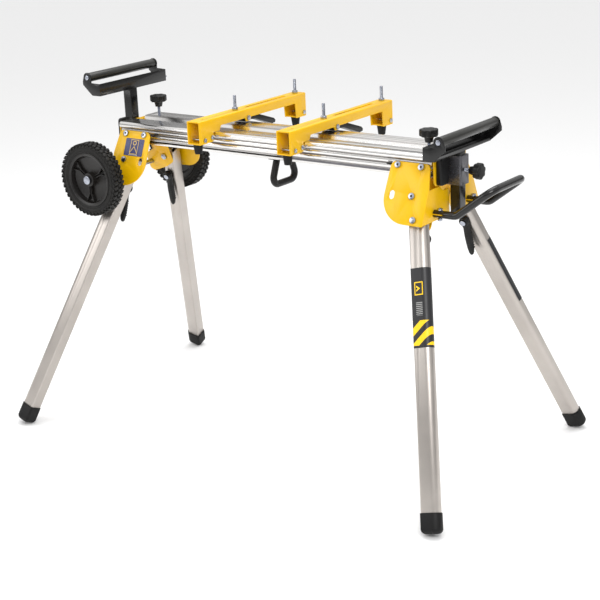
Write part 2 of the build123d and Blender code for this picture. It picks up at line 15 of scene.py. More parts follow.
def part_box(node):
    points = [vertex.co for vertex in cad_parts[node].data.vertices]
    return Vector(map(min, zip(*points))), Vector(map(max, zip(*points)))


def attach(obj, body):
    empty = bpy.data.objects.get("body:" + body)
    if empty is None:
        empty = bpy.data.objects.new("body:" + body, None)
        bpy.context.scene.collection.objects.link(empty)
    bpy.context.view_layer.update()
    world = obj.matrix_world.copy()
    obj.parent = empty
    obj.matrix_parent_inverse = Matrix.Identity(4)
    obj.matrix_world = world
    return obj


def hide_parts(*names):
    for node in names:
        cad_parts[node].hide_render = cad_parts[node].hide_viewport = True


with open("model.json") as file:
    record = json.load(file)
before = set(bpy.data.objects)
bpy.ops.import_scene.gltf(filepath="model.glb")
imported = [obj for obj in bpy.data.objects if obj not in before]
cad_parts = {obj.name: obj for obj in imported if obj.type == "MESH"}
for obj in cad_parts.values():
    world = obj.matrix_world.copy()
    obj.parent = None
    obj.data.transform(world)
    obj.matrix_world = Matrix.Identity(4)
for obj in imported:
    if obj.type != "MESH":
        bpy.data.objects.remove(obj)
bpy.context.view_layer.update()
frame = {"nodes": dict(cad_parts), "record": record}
log = logging.getLogger("stand")
Point = tuple[float, float, float]
Colour = tuple[float, float, float, float]


# ------------------------------------------------------------------ shader maths
class Wire:
    """A number or vector on its way through a node tree, with arithmetic that adds Math nodes."""

    def __init__(self, sheet: "Sheet", socket: bpy.types.NodeSocket) -> None:
        """Wrap a socket of one sheet."""
        self.sheet = sheet
        self.socket = socket

    def _math(self, operation: str, first: object, second: object) -> "Wire":
        """Join two values with one Math node."""
        return self.sheet.add("ShaderNodeMath", {"operation": operation}, {0: first, 1: second})

    def __add__(self, other: object) -> "Wire":
        """Sum."""
        return self._math("ADD", self, other)

    __radd__ = __add__

    def __sub__(self, other: object) -> "Wire":
        """Difference."""
        return self._math("SUBTRACT", self, other)

    def __rsub__(self, other: object) -> "Wire":
        """Reflected difference."""
        return self._math("SUBTRACT", other, self)

    def __mul__(self, other: object) -> "Wire":
        """Product."""
        return self._math("MULTIPLY", self, other)

    __rmul__ = __mul__

    def __truediv__(self, other: object) -> "Wire":
        """Quotient."""
        return self._math("DIVIDE", self, other)

    def __gt__(self, other: object) -> "Wire":
        """One where this value is the larger, else zero."""
        return self._math("GREATER_THAN", self, other)

    def __lt__(self, other: object) -> "Wire":
        """One where this value is the smaller, else zero."""
        return self._math("LESS_THAN", self, other)

    def fraction(self) -> "Wire":
        """The part after the decimal point."""
        return self._math("FRACT", self, 0.0)

    def size(self) -> "Wire":
        """Absolute value."""
        return self._math("ABSOLUTE", self, 0.0)


class Sheet:
    """One material's node tree, ready to be filled."""

    def __init__(self, name: str) -> None:
        """Make the material and keep its shader and its object coordinates."""
        self.material = bpy.data.materials.new(name)
        self.material.use_nodes = True
        self.tree = self.material.node_tree
        self.shader = self.tree.nodes["Principled BSDF"]
        self.place = self.add("ShaderNodeTexCoord", {}, {}, "Object")

    def add(self, kind: str, settings: dict, inputs: dict, output: object = 0) -> Wire:
        """Add a node.

        Args:
            kind: The node's type.
            settings: Attributes that are set before its sockets.
            inputs: Socket names or numbers, with values or wires.
            output: The output socket's name or number.

        Returns:
            The wire that leaves that output.
        """
        node = self.tree.nodes.new(kind)
        for key, value in settings.items():
            if key == "stops":
                ramp = node.color_ramp
                for (position, colour), stop in zip(value, ramp.elements):
                    stop.position, stop.color = position, colour
                continue
            setattr(node, key, value)
        for key, value in inputs.items():
            if isinstance(value, Wire):
                self.tree.links.new(value.socket, node.inputs[key])
            else:
                node.inputs[key].default_value = value
        return Wire(self, node.outputs[output])

    def feed(self, name: str, value: object) -> None:
        """Put a value or a wire on one of the shader's sockets."""
        if isinstance(value, Wire):
            self.tree.links.new(value.socket, self.shader.inputs[name])
        else:
            self.shader.inputs[name].default_value = value

    def scaled(self, factors: Point) -> Wire:
        """Object coordinates stretched by a factor along each axis."""
        return self.add("ShaderNodeVectorMath", {"operation": "MULTIPLY"}, {0: self.place, 1: factors})

    def along(self, direction: Point) -> Wire:
        """Distance along a direction from the origin."""
        product = {"operation": "DOT_PRODUCT"}
        return self.add("ShaderNodeVectorMath", product, {0: self.place, 1: direction}, "Value")

    def noise(self, factors: Point, scale: float, detail: float = 3.0) -> Wire:
        """Fractal noise on stretched object coordinates."""
        return self.add(
            "ShaderNodeTexNoise", {}, {"Vector": self.scaled(factors), "Scale": scale, "Detail": detail}, "Fac"
        )

    def blend(self, mask: Wire, low: object, high: object) -> Wire:
        """Mix two colours by a mask."""
        return self.add(
            "ShaderNodeMix", {"data_type": "RGBA", "clamp_factor": True}, {0: mask, 6: low, 7: high}, 2
        )

    def bump(self, height: Wire, depth: float, strength: float = 1.0) -> None:
        """Raise the surface by a height wire, at most by depth metres."""
        normal = self.add(
            "ShaderNodeBump", {}, {"Height": height, "Distance": depth, "Strength": strength}, "Normal"
        )
        self.feed("Normal", normal)


def rgba(red: float, green: float, blue: float) -> Colour:
    """An opaque colour."""
    return (red, green, blue, 1.0)


@dataclass(frozen=True)
class Finish:
    """A surface finish: colours, gloss, grain and how the grain is stretched."""

    name: str
    slot: str
    light: Colour
    dark: Colour
    roughness: float
    roughness_swing: float
    metallic: float = 0.0
    coat: float = 0.0
    shine: float = 0.5
    grain: Point = (1.0, 1.0, 1.0)
    grain_scale: float = 300.0
    grain_depth: float = 0.00005
    cloud_scale: float = 9.0

    def make(self) -> bpy.types.Material:
        """Build the material of this finish."""
        sheet = Sheet(self.name)
        cloud = sheet.noise((1.0, 1.0, 1.0), self.cloud_scale)
        grain = sheet.noise(self.grain, self.grain_scale, 4.0)
        mask = (cloud - 0.35) * 1.6 + (grain - 0.5) * 0.5
        sheet.feed("Base Color", sheet.blend(mask, self.dark, self.light))
        sheet.feed("Roughness", self.roughness + (grain - 0.5) * self.roughness_swing + (cloud - 0.5) * 0.08)
        sheet.feed("Metallic", self.metallic)
        sheet.feed("Coat Weight", self.coat)
        sheet.feed("Coat Roughness", 0.12)
        sheet.feed("Specular IOR Level", self.shine)
        sheet.bump(grain, self.grain_depth)
        return sheet.material


@dataclass(frozen=True)
class Extrusion(Finish):
    """Polished extrusion: long drawing streaks, with painted shade in the grooves between its rounded lobes."""

    grooves: tuple[float, ...] = (0.7595, 0.7455, 0.7315)
    groove_half: float = 0.0036

    def make(self) -> bpy.types.Material:
        """Build the material, with painted shade darkening the grooves."""
        sheet = Sheet(self.name)
        coarse = sheet.noise((0.25, 60.0, 60.0), 3.0, 2.0)
        streak = sheet.noise(self.grain, self.grain_scale, 4.0)
        height = sheet.along((0.0, 0.0, 1.0))
        depth = sheet.along((0.0, 1.0, 0.0)).size()
        # Painted shade: a mask that darkens the base colour in the grooves between the lobes and along groove lines on
        # the top, and roughens them a little.
        painted_groove_shade = 0.0
        for groove in self.grooves:
            near = 1.0 - (height - groove).size() / self.groove_half
            painted_groove_shade = painted_groove_shade + near * (near > 0.0) * (depth > 0.04)
        for line in (0.0235, 0.0375, 0.052):
            near = 1.0 - (depth - line).size() / 0.003
            painted_groove_shade = painted_groove_shade + near * (near > 0.0) * (height > 0.765)
        # Subtracting the groove mask paints shade into the grooves.
        mask = 0.78 + (coarse - 0.5) * 0.9 + (streak - 0.5) * 0.4 - painted_groove_shade * 1.5
        sheet.feed("Base Color", sheet.blend(mask, self.dark, self.light))
        sheet.feed("Roughness", self.roughness + (streak - 0.5) * self.roughness_swing + painted_groove_shade * 0.12)
        sheet.feed("Metallic", self.metallic)
        sheet.bump(streak, self.grain_depth)
        return sheet.material


@dataclass(frozen=True)
class LegFilm:
    """Printed film round a leg: black, with a sign, grey rules and yellow diagonal stripes."""

    name: str
    top: Point
    down: Point
    across: Point
    length: float
    striped: bool

    def make(self) -> bpy.types.Material:
        """Build the film's material from distances along and across the leg."""
        sheet = Sheet(self.name)
        start = sum(a * b for a, b in zip(self.top, self.down))
        middle = sum(a * b for a, b in zip(self.top, self.across))
        run = (sheet.along(self.down) - start) / self.length
        side = (sheet.along(self.across) - middle) * 1000.0
        black, yellow, grey = rgba(0.012, 0.012, 0.014), rgba(0.95, 0.6, 0.0), rgba(0.35, 0.35, 0.34)
        colour = black
        if self.striped:
            wide = ((run * self.length * 1000.0 - side * 0.9) / 34.0).fraction() > 0.48
            stripes = wide * (run > 0.66) * (run < 0.97)
            colour = sheet.blend(stripes, black, yellow)
            rules = (((run * self.length * 1000.0) / 4.2).fraction() > 0.6) * (run > 0.43) * (run < 0.6)
            rules = rules * ((side - 1.0).size() < 8.0)
            colour = sheet.blend(rules, colour, grey)
            low = ((run - 0.26) * self.length * 1000.0).size()
            wide_side = (side - 1.0).size()
            sign = (low < 15.0) * (wide_side < 10.5) * (1.0 - (low < 12.6) * (wide_side < 8.4))
            arm = ((low - side * 0.7).size() < 2.0) * (wide_side < 6.0) * (low < 10.0)
            colour = sheet.blend(sign + arm, colour, yellow)
        sheet.feed("Base Color", colour)
        sheet.feed("Roughness", 0.34 + sheet.noise((1.0, 1.0, 1.0), 60.0) * 0.12)
        return sheet.material


@dataclass(frozen=True)
class PlateFilm:
    """Dark blue film on the left plate with a generic pictogram in thin light lines."""

    centre: Point
    up: Point

    def make(self) -> bpy.types.Material:
        """Build the film's material from distances in the plate's plane."""
        sheet = Sheet("plate_film")
        side = (sheet.along((1.0, 0.0, 0.0)) - self.centre[0]) * 1000.0
        rise = (sheet.along(self.up) - sum(a * b for a, b in zip(self.centre, self.up))) * 1000.0
        blue, gold, pale = rgba(0.012, 0.016, 0.11), rgba(0.75, 0.5, 0.08), rgba(0.45, 0.47, 0.52)
        head = sheet.add("ShaderNodeVectorMath", {"operation": "LENGTH"}, {
            0: sheet.add("ShaderNodeCombineXYZ", {}, {0: side, 1: rise - 11.0, 2: 0.0})
        }, "Value")
        ring = ((head - 5.0).size() < 0.9) * 1.0
        frame_outer = (side.size() < 13.0) * ((rise - 1.0).size() < 19.0)
        frame_inner = (side.size() < 11.6) * ((rise - 1.0).size() < 17.6)
        slopes = ((side.size() * 1.4 + rise - 2.0).size() < 1.3) * (rise < 4.0) * (rise > -14.0)
        lines = ((rise + 19.8).size() < 0.7) * (side.size() < 15.0)
        mask = frame_outer - frame_inner + ring + slopes
        colour = sheet.blend(mask, blue, gold)
        colour = sheet.blend(lines, colour, pale)
        pinstripe = ((side / 2.6).fraction() > 0.82) * (side.size() > 15.5) * (side.size() < 29.0)
        colour = sheet.blend(pinstripe * 0.35, colour, pale)
        sheet.feed("Base Color", colour)
        sheet.feed("Roughness", 0.3 + sheet.noise((1.0, 1.0, 1.0), 80.0) * 0.1)
        return sheet.material


class Tone(Enum):
    """The finishes that the stand's pieces are given."""

    YELLOW = Finish("yellow_powder_coat", "yellow_paint", rgba(0.86, 0.5, 0.0), rgba(0.76, 0.43, 0.0), 0.34, 0.12,
                    coat=0.15, shine=0.3, grain_scale=420.0, grain_depth=0.00004)
    BEAM = Extrusion("polished_extrusion", "polished_aluminium", rgba(0.9, 0.885, 0.865), rgba(0.4, 0.385, 0.375), 0.2,
                     0.1, metallic=1.0, grain=(0.5, 60.0, 60.0), grain_scale=22.0, grain_depth=0.000006)
    LEG = Finish("drawn_leg_tube", "leg_aluminium", rgba(0.58, 0.54, 0.5), rgba(0.46, 0.425, 0.395), 0.38, 0.14,
                 metallic=1.0, grain=(6.0, 6.0, 0.4), grain_scale=160.0, grain_depth=0.00003)
    PLASTIC = Finish("moulded_plastic", "black_plastic", rgba(0.008, 0.008, 0.008), rgba(0.004, 0.004, 0.004), 0.4,
                     0.2, shine=0.28, grain_scale=900.0, grain_depth=0.00006)
    RUBBER = Finish("foot_rubber", "black_rubber", rgba(0.01, 0.01, 0.01), rgba(0.005, 0.005, 0.005), 0.5, 0.2,
                    shine=0.22, grain_scale=700.0, grain_depth=0.00008)
    TYRE = Finish("tyre_rubber", "tyre_rubber", rgba(0.017, 0.0155, 0.013), rgba(0.008, 0.0075, 0.007), 0.55, 0.22,
                  shine=0.25, grain_scale=500.0, grain_depth=0.0001, cloud_scale=22.0)
    RIM = Finish("rim_plastic", "black_plastic", rgba(0.013, 0.011, 0.009), rgba(0.006, 0.005, 0.0045), 0.34, 0.2,
                 shine=0.4, grain_scale=900.0, grain_depth=0.00006)
    ROLLER = Finish("roller_sleeve", "roller_rubber", rgba(0.03, 0.03, 0.026), rgba(0.014, 0.014, 0.012), 0.32, 0.2,
                    shine=0.45, grain=(8.0, 0.5, 8.0), grain_scale=60.0, grain_depth=0.00004)
    BLACK_STEEL = Finish("black_gloss_paint", "black_steel", rgba(0.007, 0.007, 0.007), rgba(0.004, 0.004, 0.004),
                         0.22, 0.12, coat=0.25, shine=0.35, grain_scale=350.0, grain_depth=0.00004)
    DARK_STEEL = Finish("grey_steel_paint", "dark_steel", rgba(0.23, 0.22, 0.235), rgba(0.1, 0.1, 0.11), 0.3,
                        0.16, metallic=0.75, grain_scale=350.0, grain_depth=0.00005)
    ZINC = Finish("zinc_plate", "zinc", rgba(0.62, 0.65, 0.71), rgba(0.34, 0.36, 0.42), 0.24, 0.18, metallic=1.0,
                  grain_scale=260.0, grain_depth=0.00005, cloud_scale=90.0)
    # Painted shade for the recesses of the bolt sockets.
    SOCKET = Finish("socket_shadow", "black_steel", rgba(0.02, 0.02, 0.03), rgba(0.008, 0.008, 0.014), 0.5, 0.1,
                    shine=0.2, grain_scale=900.0)


made: dict[Tone, bpy.types.Material] = {}


def coat(piece: bpy.types.Object, material: bpy.types.Material) -> None:
    """Give a piece one material all over."""
    piece.data.materials.clear()
    piece.data.materials.append(material)


def tone(piece: bpy.types.Object, choice: Tone) -> None:
    """Dress a new piece or a CAD node in one of the stand's finishes."""
    if choice not in made:
        made[choice] = choice.value.make()
    coat(piece, made[choice])


# ------------------------------------------------------------------ bench work
def select_only(*pieces: bpy.types.Object) -> None:
    """Deselect everything, then select these pieces, the first one active."""
    bpy.ops.object.select_all(action="DESELECT")
    for piece in pieces:
        piece.select_set(True)
    bpy.context.view_layer.objects.active = pieces[0]


def apply_place(piece: bpy.types.Object) -> bpy.types.Object:
    """Put a piece's place into its mesh, with its object at the origin."""
    select_only(piece)
    bpy.ops.object.transform_apply(location=True, rotation=True, scale=True)
    return piece


def modify(piece: bpy.types.Object, kind: str, **settings: object) -> None:
    """Add a modifier and apply it."""
    select_only(piece)
    modifier = piece.modifiers.new(kind.lower(), kind)
    for key, value in settings.items():
        setattr(modifier, key, value)
    bpy.ops.object.modifier_apply(modifier=modifier.name)


def smooth(piece: bpy.types.Object, degrees: float = 32.0) -> None:
    """Shade smooth except across edges sharper than the angle."""
    select_only(piece)
    bpy.ops.object.shade_smooth_by_angle(angle=math.radians(degrees))


def axis_turn(axis: Sequence[float]) -> tuple[float, float, float]:
    """The turn that brings +Z onto an axis."""
    return tuple(Vector((0.0, 0.0, 1.0)).rotation_difference(Vector(axis)).to_euler())


def drum(name: str, centre: Sequence[float], axis: Sequence[float], radius: float, height: float,
         edge: float = 0.0, vertices: int = 48) -> bpy.types.Object:
    """A round piece with bevelled rims.

    Args:
        name: The piece's name.
        centre: Its centre.
        axis: The direction of its axis.
        radius: Its radius.
        height: Its length along the axis.
        edge: The bevel on its rims.
        vertices: How many sides its circle has.

    Returns:
        The new object.
    """
    bpy.ops.object.select_all(action="DESELECT")
    bpy.ops.mesh.primitive_cylinder_add(vertices=vertices, radius=radius, depth=height, location=centre,
                                        rotation=axis_turn(axis))
    piece = bpy.context.object
    piece.name = name
    apply_place(piece)
    if edge:
        modify(piece, "BEVEL", width=edge, segments=3, limit_method="ANGLE", angle_limit=math.radians(40))
    return piece


def block(
    name: str, centre: Sequence[float], size: Point, edge: float, turn: Point = (0.0, 0.0, 0.0)
) -> bpy.types.Object:
    """A bevelled bar with its place in its mesh."""
    bpy.ops.object.select_all(action="DESELECT")
    bpy.ops.mesh.primitive_cube_add(size=1.0, location=centre, rotation=turn)
    piece = bpy.context.object
    piece.name = name
    piece.scale = size
    apply_place(piece)
    modify(piece, "BEVEL", width=edge, segments=2)
    return piece


def join(name: str, pieces: Sequence[bpy.types.Object]) -> bpy.types.Object:
    """Join pieces into the first one and name it."""
    select_only(*pieces)
    bpy.ops.object.join()
    piece = bpy.context.object
    piece.name = name
    return piece


def copied(piece: bpy.types.Object, matrix: Matrix) -> bpy.types.Object:
    """A copy with its own mesh, moved by a matrix inside its mesh."""
    twin = piece.copy()
    twin.data = piece.data.copy()
    bpy.context.scene.collection.objects.link(twin)
    twin.data.transform(matrix)
    if matrix.determinant() < 0:
        twin.data.flip_normals()
    return twin


def lathe(name: str, outline: Sequence[tuple[float, float]], centre: Sequence[float], axis: Sequence[float],
          steps: int = 96) -> bpy.types.Object:
    """Spin a closed outline of (radius, height) points round an axis.

    Args:
        name: The piece's name.
        outline: Points round the section, as radius and height along the axis.
        centre: Where the axis has height zero.
        axis: The direction of the axis.
        steps: How many steps one turn has.

    Returns:
        The new object, closed and with its faces outwards.
    """
    bpy.ops.object.select_all(action="DESELECT")
    bpy.ops.mesh.primitive_circle_add(vertices=len(outline), radius=1.0)
    piece = bpy.context.object
    piece.name = name
    for vertex, (radius, height) in zip(piece.data.vertices, outline):
        vertex.co = (radius, 0.0, height)
    bpy.ops.object.mode_set(mode="EDIT")
    bpy.ops.mesh.select_all(action="SELECT")
    bpy.ops.mesh.spin(steps=steps, angle=2 * math.pi, center=(0, 0, 0), axis=(0, 0, 1))
    bpy.ops.mesh.select_all(action="SELECT")
    bpy.ops.mesh.remove_doubles(threshold=0.00001)
    bpy.ops.mesh.normals_make_consistent(inside=False)
    bpy.ops.object.mode_set(mode="OBJECT")
    turn = Vector((0.0, 0.0, 1.0)).rotation_difference(Vector(axis)).to_matrix().to_4x4()
    piece.data.transform(Matrix.Translation(Vector(centre)) @ turn)
    return piece


def loft(name: str, rings: Sequence[Sequence[Vector]]) -> bpy.types.Object:
    """Extrude a face through rings of points.

    Args:
        name: The piece's name.
        rings: Rings with the same number of points, in order from one end to the other.

    Returns:
        The new closed object.
    """
    bpy.ops.object.select_all(action="DESELECT")
    bpy.ops.mesh.primitive_circle_add(vertices=len(rings[0]), radius=1.0, fill_type="NGON")
    piece = bpy.context.object
    piece.name = name
    for vertex, point in zip(piece.data.vertices, rings[0]):
        vertex.co = point
    bpy.ops.object.mode_set(mode="EDIT")
    bpy.ops.mesh.select_all(action="SELECT")
    for before, after in zip(rings, rings[1:]):
        bpy.ops.mesh.extrude_region_move()
        mesh = bmesh.from_edit_mesh(piece.data)
        for vertex in (v for v in mesh.verts if v.select):
            nearest = min(range(len(before)), key=lambda n: (before[n] - vertex.co).length_squared)
            vertex.co = after[nearest]
        bmesh.update_edit_mesh(piece.data)
    bpy.ops.mesh.select_all(action="SELECT")
    bpy.ops.mesh.normals_make_consistent(inside=False)
    bpy.ops.object.mode_set(mode="OBJECT")
    return piece


def points(node: str) -> list[Vector]:
    """Every corner of a CAD node's mesh."""
    return [vertex.co.copy() for vertex in frame["nodes"][node].data.vertices]


def islands(node: str) -> Iterable[list[Vector]]:
    """The corners of each separate solid of a CAD node."""
    mesh = bmesh.new()
    mesh.from_mesh(frame["nodes"][node].data)
    bmesh.ops.remove_doubles(mesh, verts=mesh.verts, dist=0.00001)
    left = set(mesh.verts)
    while left:
        front = [left.pop()]
        found = []
        while front:
            vertex = front.pop()
            found.append(vertex.co.copy())
            for edge in vertex.link_edges:
                other = edge.other_vert(vertex)
                if other in left:
                    left.discard(other)
                    front.append(other)
        yield found
    mesh.free()


def socket_shades(name: str, node: str, axes: Sequence[Point], body: str, size: float) -> None:
    """Thin dark hexagonal discs on the outer ends of a node's bolts: painted shade where their sockets are.

    Args:
        name: The name of the piece that holds them all.
        node: The CAD node of the bolts.
        axes: Directions that a bolt may have.
        body: The body that they ride on.
        size: Radius of a socket.
    """
    shade_marks = []
    for corners in islands(node):
        centre = sum(corners, Vector()) / len(corners)
        best = None
        for axis in (Vector(a) for a in axes):
            if axis.y * centre.y < 0:
                continue
            long = [c.dot(axis) for c in corners]
            wide = max(((c - centre) - axis * (c - centre).dot(axis)).length for c in corners)
            if best is None or wide < best[0]:
                best = (wide, axis, max(long))
        wide, axis, reach = best
        top = [c for c in corners if c.dot(axis) > reach - 0.0004]
        spot = sum(top, Vector()) / len(top)
        # Each mark is a flat dark hexagon: painted shade standing in for the socket's recess.
        shade_marks.append(drum("mark", spot, axis, size, 0.0003, 0.0, 6))
    fit(join(name, shade_marks), body, Tone.SOCKET)


def softened(node: str, body: str, choice: Tone, width: float = 0.0006) -> bpy.types.Object:
    """A copy of a CAD node with rounded edges, which stands for the node.

    Args:
        node: The CAD node's name.
        body: The body that it rides on.
        choice: Its finish.
        width: How far its edges are rounded.

    Returns:
        The new object.
    """
    piece = bpy.data.objects.new(f"{node}_skin", frame["nodes"][node].data.copy())
    bpy.context.scene.collection.objects.link(piece)
    select_only(piece)
    bpy.ops.object.mode_set(mode="EDIT")
    bpy.ops.mesh.select_all(action="SELECT")
    bpy.ops.mesh.remove_doubles(threshold=0.000005)
    bpy.ops.mesh.dissolve_limited(angle_limit=math.radians(0.4))
    bpy.ops.object.mode_set(mode="OBJECT")
    modify(piece, "BEVEL", width=width, segments=2, limit_method="ANGLE", angle_limit=math.radians(35),
           harden_normals=False)
    smooth(piece)
    tone(piece, choice)
    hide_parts(node)
    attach(piece, body)
    return piece


def fit(piece: bpy.types.Object, body: str, choice: Tone) -> bpy.types.Object:
    """Finish a new piece: smooth it, dress it and let it ride on a body."""
    smooth(piece)
    tone(piece, choice)
    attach(piece, body)
    log.info("%s rides on %s", piece.name, body)
    return piece


def middle(node: str) -> Vector:
    """Centre of a CAD node's box."""
    low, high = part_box(node)
    return (Vector(low) + Vector(high)) / 2


def joint(name: str) -> dict:
    """One joint of the record by its name."""
    return next(j for j in frame["record"]["behaviour"]["joints"] if j["name"] == name)


# ------------------------------------------------------------------ sub-assemblies
@dataclass
class Wheel:
    """Tyre with blocks and shoulder notches, and a ribbed rim, on one end of the axle."""

    which: str
    side: float
    tyre_r: float = 0.095
    groove: float = 0.003
    rim_r: float = 0.0699
    half: float = 0.018
    blocks: int = 44
    arms: int = 3

    def centre(self) -> Vector:
        """Middle of the wheel."""
        return middle(f"{self.which}_tyre")

    def outwards(self) -> Vector:
        """The way that the wheel's outer face looks."""
        return Vector((0.0, self.side, 0.0))

    def tyre(self) -> None:
        """Carcass with bulged walls, two rows of blocks and a notched shoulder."""
        r, g, h, rim = self.tyre_r, self.groove, self.half, self.rim_r
        outline = [(rim, -h + 0.004), (rim + 0.006, -h + 0.0005), (rim + 0.013, -h + 0.0012),
                   (r - g - 0.003, -h + 0.0035), (r - g, -h + 0.007), (r - g, -0.0015), (r - g - 0.0015, 0.0),
                   (r - g, 0.0015), (r - g, h - 0.007), (r - g - 0.003, h - 0.0035), (rim + 0.013, h - 0.0012),
                   (rim + 0.006, h - 0.0005), (rim, h - 0.004)]
        parts = [lathe("carcass", outline, (0, 0, 0), (0, 0, 1), 102)]
        step = 2 * math.pi / self.blocks
        rows = ((-0.0108, 0.0105, 0.0), (0.0, 0.0085, 0.5), (0.0108, 0.0105, 0.0))
        for row, (height, wide, shift) in enumerate(rows):
            long = step * r * 0.66
            stud = block("stud", (r - g / 2 - 0.0006, 0, height), (g + 0.001, long, wide), 0.0007,
                         (0.3 * (row - 1), 0.0, 0.0))
            parts += [copied(stud, Matrix.Rotation((n + shift) * step, 4, "Z")) for n in range(self.blocks)]
            bpy.data.objects.remove(stud)
        for face in (-1.0, 1.0):
            notch = block("notch", (r - 0.0075, 0, face * (h - 0.0024)), (0.0065, step * r * 0.55, 0.0018),
                          0.0006)
            parts += [copied(notch, Matrix.Rotation((n + 0.5) * step, 4, "Z")) for n in range(self.blocks)]
            bpy.data.objects.remove(notch)
            for radius in (rim + 0.0045, rim + 0.0125):
                bead = [(radius, 0.0), (radius + 0.0006, 0.0007), (radius + 0.0012, 0.0)]
                parts.append(lathe("wall_ring", bead, (0, 0, face * (h - 0.0009)), (0, 0, face), 96))
        tyre = join(f"{self.which}_wheel_tyre", parts)
        self.place(tyre)
        fit(tyre, f"{self.which}_wheel", Tone.TYRE)
        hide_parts(f"{self.which}_tyre")

    def place(self, piece: bpy.types.Object) -> None:
        """Carry a piece made round +Z onto the wheel's axis."""
        turn = Vector((0.0, 0.0, 1.0)).rotation_difference(self.outwards()).to_matrix().to_4x4()
        piece.data.transform(Matrix.Translation(self.centre()) @ turn)

    def rim(self) -> None:
        """Dished disc with a bright bead, a hub and forked ribs."""
        h, rim = self.half, self.rim_r
        outline = [(0.0061, -h + 0.002), (0.017, -h + 0.002), (0.019, -0.002), (0.052, -0.002),
                   (0.058, -h + 0.004), (rim - 0.0005, -h + 0.003), (rim - 0.0005, h - 0.003),
                   (rim - 0.004, h - 0.0022), (0.0615, h - 0.004), (0.058, 0.004), (0.054, 0.002),
                   (0.0195, 0.002), (0.017, h - 0.003), (0.0155, h - 0.002), (0.0061, h - 0.002)]
        parts = [lathe("dish", outline, (0, 0, 0), (0, 0, 1), 96)]
        for radius, height in ((0.0235, 0.0025), (0.0575, 0.006), (0.0655, 0.0145)):
            bead = [(radius - 0.001, height - 0.003), (radius - 0.0006, height), (radius + 0.0006, height),
                    (radius + 0.001, height - 0.003)]
            parts.append(lathe("ring", bead, (0, 0, 0), (0, 0, 1), 96))
        bars = []
        for shift in (-1.0, 1.0):
            bars.append(block("bar", (0.0285, 0.0028 * shift, 0.0055), (0.0235, 0.0017, 0.009), 0.0006))
            bars.append(block("fork", (0.0475, 0.0072 * shift, 0.0055), (0.0215, 0.0019, 0.0085), 0.0006,
                              (0.0, 0.0, 0.42 * shift)))
        rib = join("rib", bars)
        for n in range(self.arms):
            parts.append(copied(rib, Matrix.Rotation(2 * math.pi * (n + 0.22) / self.arms, 4, "Z")))
            parts.append(copied(rib, Matrix.Rotation(2 * math.pi * (n + 0.22) / self.arms, 4, "Z")
                                @ Matrix.Rotation(math.pi, 4, "X")))
        bpy.data.objects.remove(rib)
        disc = join(f"{self.which}_wheel_rim", parts)
        self.place(disc)
        fit(disc, f"{self.which}_wheel", Tone.RIM)
        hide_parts(f"{self.which}_rim")

    def build(self) -> None:
        """Make the tyre and the rim."""
        self.tyre()
        self.rim()


@dataclass
class StarKnob:
    """Lobed clamping knob with a dished top, a waisted hub and a zinc screw."""

    node: str
    body: str
    axis: Point
    radius: float
    head: float = 0.017
    lobes: int = 7

    def build(self) -> None:
        """Make head and hub as one moulding, and the screw beside it."""
        low, high = (Vector(c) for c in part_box(self.node))
        axis = Vector(self.axis)
        mid = (low + high) / 2
        reach = max(low.dot(axis), high.dot(axis))
        foot = min(low.dot(axis), high.dot(axis))
        base = mid - axis * mid.dot(axis)
        cap = drum("cap", (0, 0, -self.head / 2), (0, 0, 1), self.radius, self.head, 0.0, 84)
        for vertex in cap.data.vertices:
            angle = math.atan2(vertex.co.y, vertex.co.x)
            squeeze = 1.0 - 0.13 * (0.5 - 0.5 * math.cos(self.lobes * angle)) ** 1.5
            vertex.co.x *= squeeze
            vertex.co.y *= squeeze
        modify(cap, "BEVEL", width=0.0032, segments=4, limit_method="ANGLE", angle_limit=math.radians(50))
        dish = lathe("dish", [(0.0, 0.0004), (self.radius * 0.5, 0.0004), (self.radius * 0.56, -0.0006),
                              (self.radius * 0.5, -0.002), (0.0, -0.002)], (0, 0, 0), (0, 0, 1), 48)
        hub = lathe("hub", [(0.0, -self.head + 0.002), (0.0135, -self.head + 0.001), (0.0105, -self.head - 0.004),
                            (0.0088, -self.head - 0.013), (0.0, -self.head - 0.0135)], (0, 0, 0), (0, 0, 1), 48)
        moulding = join(f"{self.node}_moulding", [cap, dish, hub])
        turn = Vector((0, 0, 1)).rotation_difference(axis).to_matrix().to_4x4()
        moulding.data.transform(Matrix.Translation(base + axis * (reach - 0.0005)) @ turn)
        fit(moulding, self.body, Tone.PLASTIC)
        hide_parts(self.node)
        length = reach - self.head - 0.0125 - foot
        turns = max(6, int(length / 0.00125))
        thread: list[tuple[float, float]] = [(0.0, 0.0)]
        for n in range(turns):
            thread += [(0.0033, length * n / turns), (0.004, length * (n + 0.5) / turns)]
        thread += [(0.0033, length), (0.0, length)]
        screw = lathe(f"{self.node}_screw", thread, base + axis * foot, axis, 28)
        fit(screw, self.body, Tone.ZINC)


